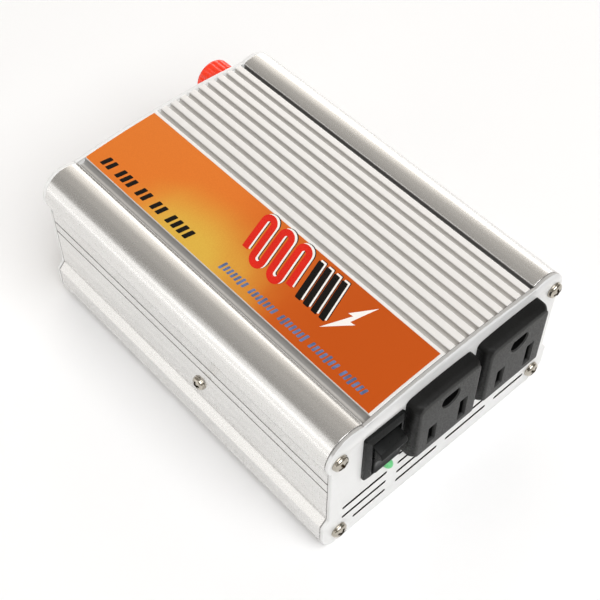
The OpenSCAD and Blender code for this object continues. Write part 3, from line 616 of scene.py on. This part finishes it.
def build_panel(name, node, y_out, y_in):
    """An end panel, its punched edges rounded by the paint and the walls of its vents in shadow."""
    bm = bmesh.new()
    loops = cap_loops(node, y_out)
    loops = [eased(q, 1.2 if i == 0 else 0.2) for i, q in enumerate(loops)]
    plate(bm, loops, min(y_out, y_in), max(y_out, y_in), 0.45, 0.06)
    for f in bm.faces:
        c = f.calc_center_median()
        f.normal_update()
        if abs(c.x) < VENTS_X and VENTS_Z[0] < c.z < VENTS_Z[1] and abs(f.normal.y) < 0.8:
            f.material_index = 1
    add(name, bm, PAINT, "case", [node], second=SHADOW)


build_shell()
build_panel("front_plate", "front_panel", FRONT_Y, FRONT_END)
build_panel("rear_plate", "rear_panel", REAR_Y, REAR_END)

# ---------- label ----------


def film(bm, outline, low, high):
    """A thin flat mark drawn as (x, y), following the crown between two heights above it."""
    sheet = bmesh.new()
    face = sheet.faces.new([sheet.verts.new((x, y, 0)) for x, y in outline])
    face.normal_update()
    if face.normal.z < 0:
        face.normal_flip()
    bmesh.ops.triangulate(sheet, faces=[face])
    # cuts across it let it bend with the crown
    lo, hi, step = min(p[0] for p in outline), max(p[0] for p in outline), 1.5
    x = math.floor(lo / step) * step + step
    while x < hi:
        geometry = sheet.verts[:] + sheet.edges[:] + sheet.faces[:]
        bmesh.ops.bisect_plane(sheet, geom=geometry, dist=1e-5, plane_co=(x, 0, 0), plane_no=(1, 0, 0))
        x += step
    out = bmesh.ops.extrude_face_region(sheet, geom=sheet.faces[:])
    top = {v for v in out["geom"] if isinstance(v, bmesh.types.BMVert)}
    for v in sheet.verts:
        v.co.z = crown(v.co.x) + (high if v in top else low)
    merge(bm, sheet)
    sheet.free()


def bar(x, y, w, h, slant, r):
    """A slanted bar about (x, y): w across the label, h along it, its +x end moved along y by slant."""
    return [(x + px, y + py + slant * px / w) for px, py in rounded(w, h, r, 3)]


def meander(y, legs, pitch, w, x0, x1):
    """Outline of a band that runs to and fro between x0 and x1 with round turns, as it steps down from y."""
    r, path = pitch / 2, []
    for k in range(legs):
        a, b, side = (x0 + r, x1 - r, 1) if k % 2 == 0 else (x1 - r, x0 + r, -1)
        level = y - k * pitch
        path += [(a, level, 0, side), (b, level, 0, side)]
        if k < legs - 1:
            for i in range(1, 10):
                t = math.radians(90 - 18 * i)
                u, v = math.cos(t), math.sin(t)
                path.append((b + side * r * u, level - r + r * v, u, side * v))
    left = [(px + nx * w / 2, py + ny * w / 2) for px, py, nx, ny in path]
    right = [(px - nx * w / 2, py - ny * w / 2) for px, py, nx, ny in path]
    return left + right[::-1]


def slanted(outline):
    return [(x, y + SLANT * (x - LABEL_MIDDLE)) for x, y in outline]


def moved(outline, dx, dy):
    return [(x + dx, y + dy) for x, y in outline]


def build_label():
    """The print: an orange ground, and plain marks where a maker would put its words."""
    start, end = reach("top_label")
    bm = bmesh.new()
    left, right = LABEL_X
    film(bm, eased([(left, start), (right, start), (right, end), (left, end)], 0.6), -0.03, 0.11)
    add("label_film", bm, FILM, "case", ["top_label"], sharp=60)
    bm = bmesh.new()
    left, right, start, end = left + 0.15, right - 0.2, start + 0.15, end - 0.15
    film(bm, [(left, start), (right, start), (right, end), (left, end)], 0.08, 0.13)
    add("label_sheet", bm, LABEL, "case", sharp=60)
    black, white, red, blue, over = (bmesh.new() for _ in range(5))
    # heavy marks near the left edge, in groups
    y = 57.0
    for count in (2, 3, 2, 2, 4):
        for _ in range(count):
            film(black, bar(-27.2, y, 3.7, 1.75, -0.9, 0.25), PRINT_LOW, 0.15)
            y -= 2.75
        y -= 1.9
    # one large wave and four heavy bars, with a white and a dark edge on one side
    wave = slanted(meander(2.9, 6, 3.85, 2.35, -20.3, -5.3))
    bars = [bar(-12.6, -21.0 - 3.3 * k, 14.0, 2.2, 14.0 * SLANT, 0.3) for k in range(4)]
    for shape, ink in [(wave, red)] + [(shape, over) for shape in bars]:
        film(black, moved(shape, 0.95, -0.6), PRINT_LOW, 0.145)
        film(white, moved(shape, 0.65, -0.4), PRINT_LOW, 0.16)
        film(ink, shape, PRINT_LOW, 0.175)
    # fine blue marks
    y, step = 0.4, 0
    while y > -60:
        film(blue, bar(-27.2, y, 2.3 if step % 5 else 3.0, 0.95, -0.5, 0.2), PRINT_LOW, 0.15)
        step += 1
        y -= 1.62 if step % 7 else 3.0
    # a plain spark
    spark = [(-5.2, -41.9), (-12.6, -37.1), (-12.3, -38.8), (-21.6, -34.8), (-14.0, -41.4), (-14.3, -39.6)]
    film(white, spark, PRINT_LOW, 0.15)
    marks = (
        ("black", black, INK_BLACK),
        ("white", white, INK_WHITE),
        ("red", red, INK_RED),
        ("dark", over, INK_BLACK),
        ("blue", blue, INK_BLUE),
    )
    for name, bm, ink in marks:
        add(f"label_marks_{name}", bm, ink, "case", sharp=60)


build_label()

# ---------- screws ----------


def screw_template(head_r, recess):
    """Pan-head screw with a domed head on a washer face and a tapered cross recess, seat at the origin."""
    bm = bmesh.new()
    head_h, shank_r, shank_end, brim = 1.9, 1.45, -2.2, 0.55
    rise, rim = head_h - brim, head_r + 0.12
    slopes = [math.radians(a) for a in (0, 14, 28, 42, 56, 68, 78, 86)]
    profile = [(head_r * math.sin(a), brim + rise * math.cos(a) ** 0.75) for a in slopes]
    profile += [(head_r, 0.5), (rim - 0.1, 0.45), (rim, 0.34), (rim, 0.1), (rim - 0.1, 0.0)]
    profile += [(shank_r, 0.0), (shank_r, shank_end), (0, shank_end)]
    revolve(bm, profile, Matrix.Identity(4), 40)
    bmesh.ops.remove_doubles(bm, verts=bm.verts, dist=0.002)
    levels = ((head_h + 0.6, recess, 0.46), (head_h - 0.35, recess, 0.42), (head_h - 1.25, recess * 0.35, 0.22))
    for turn in (0, 90):
        quarter = Matrix.Rotation(math.radians(turn), 3, "Z")
        rings = []
        for z, half, thick in levels:
            ring = [(half, thick, z), (-half, thick, z), (-half, -thick, z), (half, -thick, z)]
            rings.append([quarter @ Vector(p) for p in ring])
        arm = bmesh.new()
        loft(arm, rings)
        bm = carve(bm, arm)
    # painted shade: the recess takes a darker material than the head
    for f in bm.faces:
        c = f.calc_center_median()
        r = math.hypot(c.x, c.y)
        dome = rise * math.sqrt(max(0.0, 1 - (r / head_r) ** 2)) ** 0.75
        if r < recess and 0.3 < c.z < 0.5 + dome:
            f.material_index = 1
    return bm


def add_screws(name, node, template, spots):
    """One piece of several screws, each spot a place, a direction and a turn in degrees."""
    bm = bmesh.new()
    for place, direction, turn in spots:
        merge(bm, template, placed(place, direction) @ Matrix.Rotation(math.radians(turn), 4, "Z"))
    add(name, bm, NICKEL, "case", [node], second=RECESS_SHADE)


def build_screws():
    pan = screw_template(2.6, 1.65)
    small = screw_template(2.35, 1.5)
    turns = (24, 61, 8, 47)
    corners = [(side * x, z) for side in (-1, 1) for x, z in PORTS]
    for name, y, direction in (("front", FRONT_Y, -1), ("rear", REAR_Y, 1)):
        spots = [((x, y, z), (0, direction, 0), turn) for (x, z), turn in zip(corners, turns)]
        add_screws(f"{name}_screws", f"{name}_panel_screws", pan, spots)
    spots = [((side * WALL_X, CLAMP_Y, CLAMP_Z), (side, 0, 0), 20) for side in (-1, 1)]
    add_screws("side_screws", "clamp_screws", small, spots)
    holes = [(FAN_X + side * FAN_HOLE, FAN_Z + end * FAN_HOLE) for side in (-1, 1) for end in (-1, 1)]
    spots = [((x, REAR_Y + 1.3, z), (0, 1, 0), turn) for (x, z), turn in zip(holes, turns)]
    add_screws("fan_guard_screws", "fan_screws", small, spots)
    pan.free()
    small.free()


build_screws()

# ---------- sockets ----------


def socket_outline(w, z0, z1, r, arch):
    """Upright outline with rounded top corners and a slightly arched top edge."""
    foot_r = 0.8
    points = arc(w / 2 - foot_r, z0 + foot_r, foot_r, -90, 0, 3) + arc(w / 2 - r, z1 - r, r, 0, 90, 7)
    points += [((w / 2 - r) * (1 - k / 4), z1) for k in range(1, 8)]
    points += arc(-w / 2 + r, z1 - r, r, 90, 180, 7) + arc(-w / 2 + foot_r, z0 + foot_r, foot_r, 180, 270, 3)
    return [(x, z + arch * (1 - (2 * x / w) ** 2) * max(0.0, (z - z0) / (z1 - z0)) ** 4) for x, z in points]


def build_socket(name, node, cx):
    """Socket body tapering from the panel to its face, with bevelled blade slots and a D-shaped ground hole."""
    face = socket_outline(24.3, 25.3, 49.85, 2.2, 0.35)
    base = socket_outline(26.2, 24.75, 50.35, 1.8, 0.5)
    tail = socket_outline(22.0, 26.3, 49.6, 0.9, 0.0)
    out = SOCKET_FACE_Y
    seat = FRONT_Y - 0.02
    rings = []
    for y, d in ((out, 0.75), (out + 0.07, 0.35), (out + 0.3, 0.08), (out + 0.75, 0.0)):
        rings.append([(cx + x, y, z) for x, z in offset(face, d)])
    for y, t in ((out + 1.1, 0.35), (out + 1.6, 0.68), (out + 2.2, 0.92), (out + 2.9, 1.0), (seat, 1.0)):
        rings.append([(cx + a[0] + (b[0] - a[0]) * t, y, a[1] + (b[1] - a[1]) * t) for a, b in zip(face, base)])
    for y in (seat, FRONT_Y + 16.5):
        rings.append([(cx + x, y, z) for x, z in tail])
    bm = bmesh.new()
    loft(bm, rings)
    end = FRONT_Y + 17.5
    inner = out + 3.2
    for side, height in ((-1, 7.4), (1, 9.0)):
        x = cx + side * BLADE_HALF
        cutter = bmesh.new()
        steps = (
            (out - 1, 3.5, height + 1.3, 0.3),
            (out + 0.12, 3.3, height + 1.1, 0.3),
            (out + 0.9, 2.25, height + 0.1, 0.2),
            (inner, 2.2, height, 0.2),
            (inner + 0.01, 4.4, 11.0, 0.4),
            (end, 4.4, 11.0, 0.4),
        )
        loft(cutter, [[(p, y, q) for p, q in rounded(w, h, r, 3, x, BLADE_Z)] for y, w, h, r in steps])
        bm = carve(bm, cutter)
    cutter = bmesh.new()
    steps = (
        (out - 1, 3.85, 2.5),
        (out + 0.1, 3.75, 2.4),
        (out + 0.5, 3.5, 2.2),
        (inner, 3.5, 2.2),
        (inner + 0.01, 3.8, 9.0),
        (end, 3.8, 9.0),
    )
    rings = []
    for y, r, flat in steps:
        rings.append([(cx + x, y, GROUND_Z + min(z, flat)) for x, z in arc(0, 0, r, 0, 350, 35)])
    loft(cutter, rings)
    bm = carve(bm, cutter)
    # the slots' walls, behind their bevels, are in shadow
    half_w, low, high, bevel = 11.3, 26.2, 48.9, 0.6
    for f in bm.faces:
        c = f.calc_center_median()
        if abs(c.x - cx) < half_w and low < c.z < high and c.y > out + bevel:
            f.material_index = 1
    add(name, bm, SOCKET, "case", [node], sharp=40, second=SHADOW)


build_socket("socket_left", "outlet_left", SOCKET_XS[0])
build_socket("socket_right", "outlet_right", SOCKET_XS[1])

# ---------- switch and pilot light ----------


def build_bezel():
    bm = bmesh.new()
    levels = (
        (12, 6.5, 9.6, 0.4),
        (-0.02, 6.5, 9.6, 0.4),
        (-0.02, 7.55, 10.6, 0.7),
        (-0.7, 7.6, 10.65, 0.75),
        (-1.15, 7.45, 10.5, 0.7),
        (-1.75, 6.45, 9.3, 0.5),
        (-1.97, 5.95, 8.7, 0.4),
        (-2.0, 5.65, 8.3, 0.35),
        (-1.9, 5.42, 8.04, 0.3),
        (-0.8, 5.4, 8.0, 0.3),
        (-0.78, 5.4, 8.8, 0.3),
        (10.4, 5.4, 8.8, 0.3),
    )
    rings = []
    for y, w, h, r in levels:
        rings.append([(x, FRONT_Y + y, z) for x, z in rounded(2 * w, 2 * h, r, 4, SWITCH_X, SWITCH_Z)])
    loft(bm, rings)
    add("switch_bezel", bm, SWITCH, "case", ["switch_body"], sharp=30)


def build_rocker():
    """Boat-shaped rocker: two faces that meet in a dish, with a ridge at each end, on an axle."""
    radius, ridge, dish, half_h, tilt = 9.3, math.radians(31.8), 1.3, 6.6, math.radians(13)
    ry, rz = -radius * math.cos(ridge), radius * math.sin(ridge)
    dish_r = (rz * rz + dish * dish) / (2 * dish)
    centre = ry + dish - dish_r
    levels = [-rz + 2 * rz * k / 12 for k in range(13)]
    front = [(centre + math.sqrt(dish_r * dish_r - z * z), z) for z in levels]
    slopes = [ridge + (math.asin(half_h / radius) - ridge) * k / 3 for k in (1, 2, 3)]
    side = [(-radius * math.cos(a), radius * math.sin(a)) for a in slopes]
    profile = front + side + [(-1, half_h), (-1, -half_h)] + [(y, -z) for y, z in reversed(side)]
    c, s = math.cos(tilt), math.sin(tilt)
    turned = [(PIVOT_Y + y * c - z * s, SWITCH_Z + y * s + z * c) for y, z in eased(profile, 0.45, 3, 14)]
    if signed_area(turned) < 0:
        turned = turned[::-1]
    edge = ((5.1, 0.42), (5.04, 0.2), (4.88, 0.05), (4.65, 0), (2.4, 0))
    rings = []
    for x, d in [(-x, d) for x, d in edge] + [(0, 0)] + list(reversed(edge)):
        rings.append([(SWITCH_X + x, y, z) for y, z in offset(turned, d)])
    bm = bmesh.new()
    loft(bm, rings)
    axle = [(0, -5.9), (0.85, -5.9), (1.0, -5.75), (1.0, 5.75), (0.85, 5.9), (0, 5.9)]
    revolve(bm, axle, placed((SWITCH_X, PIVOT_Y, SWITCH_Z), (1, 0, 0)), 24)
    add("rocker_paddle", bm, SWITCH, "rocker", ["switch_rocker"], sharp=30)


def build_pilot():
    bm = bmesh.new()
    lens_r, straight = 1.5, 1.8
    slopes = [math.radians(a) for a in range(0, 91, 10)]
    profile = [(lens_r * math.sin(a), straight + lens_r * math.cos(a)) for a in slopes]
    profile += [(lens_r, 0.0), (1.9, -0.02), (1.9, -1.0), (lens_r, -1.0), (lens_r, -3.4), (0, -3.4)]
    revolve(bm, profile, placed((-23.5, FRONT_END - 0.05, 23.3), (0, -1, 0)), 32)
    add("pilot_lens", bm, LED, "case", ["power_led"])


build_bezel()
build_rocker()
build_pilot()

# ---------- binding posts ----------


def knob_mesh(bm, z):
    """Fluted knob with a rounded nose, from its seat outward."""
    n, flutes, flute_depth, inner = 160, 20, 0.42, 3.6
    seat = REAR_Y + 4.1
    # height above the seat, radius, and how much of the flutes' depth shows there
    levels = (
        (0.0, 6.2, 0.0),
        (0.25, 6.65, 0.4),
        (0.8, 7.0, 1.0),
        (2.5, 7.0, 1.0),
        (4.5, 7.0, 1.0),
        (6.0, 7.0, 1.0),
        (6.6, 7.0, 0.75),
        (7.1, 6.98, 0.25),
        (7.5, 6.85, 0.0),
        (8.0, 6.5, 0.0),
        (8.45, 5.9, 0.0),
        (8.75, 5.1, 0.0),
        (8.85, 4.6, 0.0),
        (8.9, 4.2, 0.0),
        (8.86, 3.75, 0.0),
        (8.6, inner, 0.0),
        (0.0, inner, 0.0),
    )
    rings = []
    for h, r, share in levels:
        ring = []
        for k in range(n):
            a = 2 * math.pi * k / n
            wave = 0.5 + 0.5 * math.cos(flutes * a)
            q = r - flute_depth * share * wave**1.6
            ring.append((POST_X + q * math.cos(a), seat + h, z + q * math.sin(a)))
        rings.append(ring)
    loft(bm, rings, closed=True)


def build_posts():
    collar = [(2.6, -1.5), (4.0, -1.5), (4.0, 0.0), (7.3, 0.0), (7.5, 0.2), (7.5, 2.3), (7.3, 2.7), (6.9, 2.9)]
    collar += [(6.4, 3.0), (3.2, 3.0), (2.6, 2.7)]
    washer = [(2.58, 0.0), (5.25, 0.0), (5.4, 0.15), (5.4, 0.85), (5.25, 1.0), (2.75, 1.0), (2.58, 0.85)]
    posts = (("red", POST_ZS[0], RED, "red_plastic"), ("black", POST_ZS[1], POST_BLACK, "post_black"))
    for name, z, material, slot in posts:
        bm = bmesh.new()
        knob_mesh(bm, z)
        add(f"{name}_grip_knob", bm, material, f"{name}_grip", [f"{name}_knob"], sharp=50)
        bm = bmesh.new()
        revolve(bm, collar, placed((POST_X, REAR_Y, z), (0, 1, 0)), 64, closed=True)
        add(f"{name}_collar", bm, material, "case", [f"{name}_post_collar"])
        bm = bmesh.new()
        revolve(bm, washer, placed((POST_X, REAR_Y + 3.05, z), (0, 1, 0)), 48, closed=True)
        add(f"{name}_washer", bm, NICKEL, f"{name}_clamp", [f"{name}_clamp_washer"])
    # studs with their threads
    bm = bmesh.new()
    start, end = reach("post_studs")
    for z in POST_ZS:
        profile = [(0, start), (1.9, start), (2.3, start + 0.4)]
        y = start + 0.6
        while y < end - 0.6:
            profile += [(2.5, y), (2.5, y + 0.1), (2.14, y + 0.4), (2.14, y + 0.5)]
            y += 0.8
        profile += [(2.3, end - 0.4), (1.9, end), (0, end)]
        revolve(bm, profile, placed((POST_X, 0, z), (0, 1, 0)), 32)
    add("threaded_studs", bm, BRASS, "case", ["post_studs"], sharp=50)


build_posts()

# ---------- fan ----------


def blade_section():
    """Upper and lower outline of a blade's section, as shares of the chord and millimetres of rise."""
    upper, lower = [], []
    for k in range(9):
        t = -0.5 + k / 8
        thick = 0.45 * (1 - (2 * t) ** 2) ** 0.5 + 0.12
        bow = 0.9 * (0.25 - t * t) * 2.2
        upper.append((t, bow + thick * 0.5))
        lower.insert(0, (t, bow - thick * 0.5))
    return upper + lower


def build_rotor():
    """Hub with a shallow cap and seven curved, twisted blades."""
    blades, hub_r, tip_r, spans = 7, 9.3, 17.85, 6
    half_depth, mid_depth = 3.35, 5.5
    y0 = REAR_END - 10
    bm = bmesh.new()
    profile = [(0, 0.2), (1, 0.2), (1, 1.8), (9.2, 1.8), (9.6, 2.2), (9.6, 8.6), (hub_r, 9.0), (8.7, 9.2)]
    profile += [(8.0, 9.2), (7.8, 8.75), (7.6, 8.6), (0, 8.6)]
    revolve(bm, profile, placed((FAN_X, y0, FAN_Z), (0, 1, 0)), 64)
    for k in range(blades):
        sections = []
        for i in range(spans + 1):
            share = i / spans
            r = hub_r + (tip_r - hub_r) * share
            pitch = math.radians(52 - 16 * share)
            chord = 8.6 + 0.9 * share
            ring = []
            for t, v in blade_section():
                u = t * chord
                h = u * math.sin(pitch) + v * math.cos(pitch)
                side = u * math.cos(pitch) - v * math.sin(pitch)
                a = 2 * math.pi * k / blades + side / r + 0.10 * share
                h = max(-half_depth, min(half_depth, h)) + mid_depth
                ring.append((FAN_X + r * math.cos(a), y0 + h, FAN_Z + r * math.sin(a)))
            sections.append(ring)
        loft(bm, sections)
    add("rotor_blades", bm, FAN_BLACK, "rotor", ["fan_rotor"], sharp=40)


build_rotor()

# ---------- floor, lights, camera ----------


def make_floor():
    """Pale matt paint, which glows white far out, where the lights no longer reach it."""
    color = (0.925, 0.925, 0.93)
    g = Graph("floor_white", color, 0, 0.6, **{"Emission Color": (1, 1, 1, 1)})
    fine = g.noise(60, 3)
    g.set("Base Color", g.mix(g.ramp(g.noise(3, 4), 0.3, 0.7, 0, 1), shade(color, 0.99), shade(color, 1.01)))
    g.set("Roughness", g.ramp(fine, 0.3, 0.7, 0.55, 0.65))
    g.bump(fine, 0.02)
    x, y = g.axis("X"), g.axis("Y")
    away_squared = g.add(g.times(x, x), g.times(y, y))
    g.set("Emission Strength", g.ramp(away_squared, 0.3, 1.4, 0, 1.0))
    return g.material


def build_floor():
    bm = bmesh.new()
    bmesh.ops.create_grid(bm, x_segments=8, y_segments=8, size=12)
    me = bpy.data.meshes.new("floor")
    bm.to_mesh(me)
    bm.free()
    ob = bpy.data.objects.new("floor", me)
    ob.location.z = -0.0001
    SCENE.collection.objects.link(ob)
    me.materials.append(make_floor())


def area_light(name, direction, distance, width, height, radiance, color=(1, 1, 1)):
    """A softbox in that direction from the object, facing it; radiance is what a mirror would show of it."""
    target = Vector((0, 0, 0.03))
    light = bpy.data.lights.new(name, "AREA")
    light.shape = "RECTANGLE"
    light.size, light.size_y = width, height
    light.energy = radiance * math.pi * width * height
    light.color = color
    ob = bpy.data.objects.new(name, light)
    d = Vector(direction).normalized()
    ob.location = target + d * distance
    ob.rotation_mode = "QUATERNION"
    ob.rotation_quaternion = (-d).to_track_quat("-Z", "Y")
    ob.visible_camera = False
    SCENE.collection.objects.link(ob)


def build_lights():
    """A warm grey room that brightens behind the case, a large key above the front, and softboxes at its sides."""
    world = bpy.data.worlds.new("studio")
    world.use_nodes = True
    tree = world.node_tree
    coords = tree.nodes.new("ShaderNodeTexCoord")
    toward = tree.nodes.new("ShaderNodeVectorMath")
    toward.operation = "DOT_PRODUCT"
    toward.inputs[1].default_value = Vector((0.6, 0.75, 0.25)).normalized()
    both = tree.nodes.new("ShaderNodeMath")
    both.operation = "ADD"
    for socket, numbers in zip(both.inputs, ((0.3, 0.80, 0.28, 0.39), (0.80, 0.96, 0.0, 0.85))):
        part = tree.nodes.new("ShaderNodeMapRange")
        part.interpolation_type = "SMOOTHSTEP"
        for key, number in zip(("From Min", "From Max", "To Min", "To Max"), numbers):
            part.inputs[key].default_value = number
        tree.links.new(toward.outputs["Value"], part.inputs["Value"])
        tree.links.new(part.outputs["Result"], socket)
    background = tree.nodes["Background"]
    background.inputs["Color"].default_value = (1.0, 0.94, 0.86, 1)
    tree.links.new(coords.outputs["Generated"], toward.inputs[0])
    tree.links.new(both.outputs[0], background.inputs["Strength"])
    SCENE.world = world
    area_light("key", (-0.08, -0.54, 0.84), 1.9, 1.6, 1.6, 4.5, (0.98, 0.99, 1.0))
    area_light("left_wall", (-0.87, 0.45, 0.17), 1.0, 1.3, 0.52, 0.85)
    area_light("right_wall", (0.79, 0.58, 0.15), 1.0, 1.4, 0.5, 1.3)
    area_light("left_kick", (-0.83, 0.27, 0.48), 1.0, 0.5, 0.45, 0.9)


def build_camera():
    cam = bpy.data.cameras.new("camera")
    cam.sensor_width = 36
    cam.lens = 71.24
    ob = bpy.data.objects.new("camera", cam)
    right = Vector((0.74123, -0.671247, 0.002383))
    up = Vector((0.531787, 0.58939, 0.60813))
    forward = Vector((0.40961, 0.449497, -0.793834))
    turn = Matrix((right, up, -forward)).transposed()
    ob.matrix_world = Matrix.Translation((-0.157481, -0.175869, 0.323657)) @ turn.to_4x4()
    cam.clip_start, cam.clip_end = 0.01, 60
    SCENE.collection.objects.link(ob)
    SCENE.camera = ob


build_floor()
build_lights()
build_camera()
SCENE.view_settings.view_transform = "Standard"
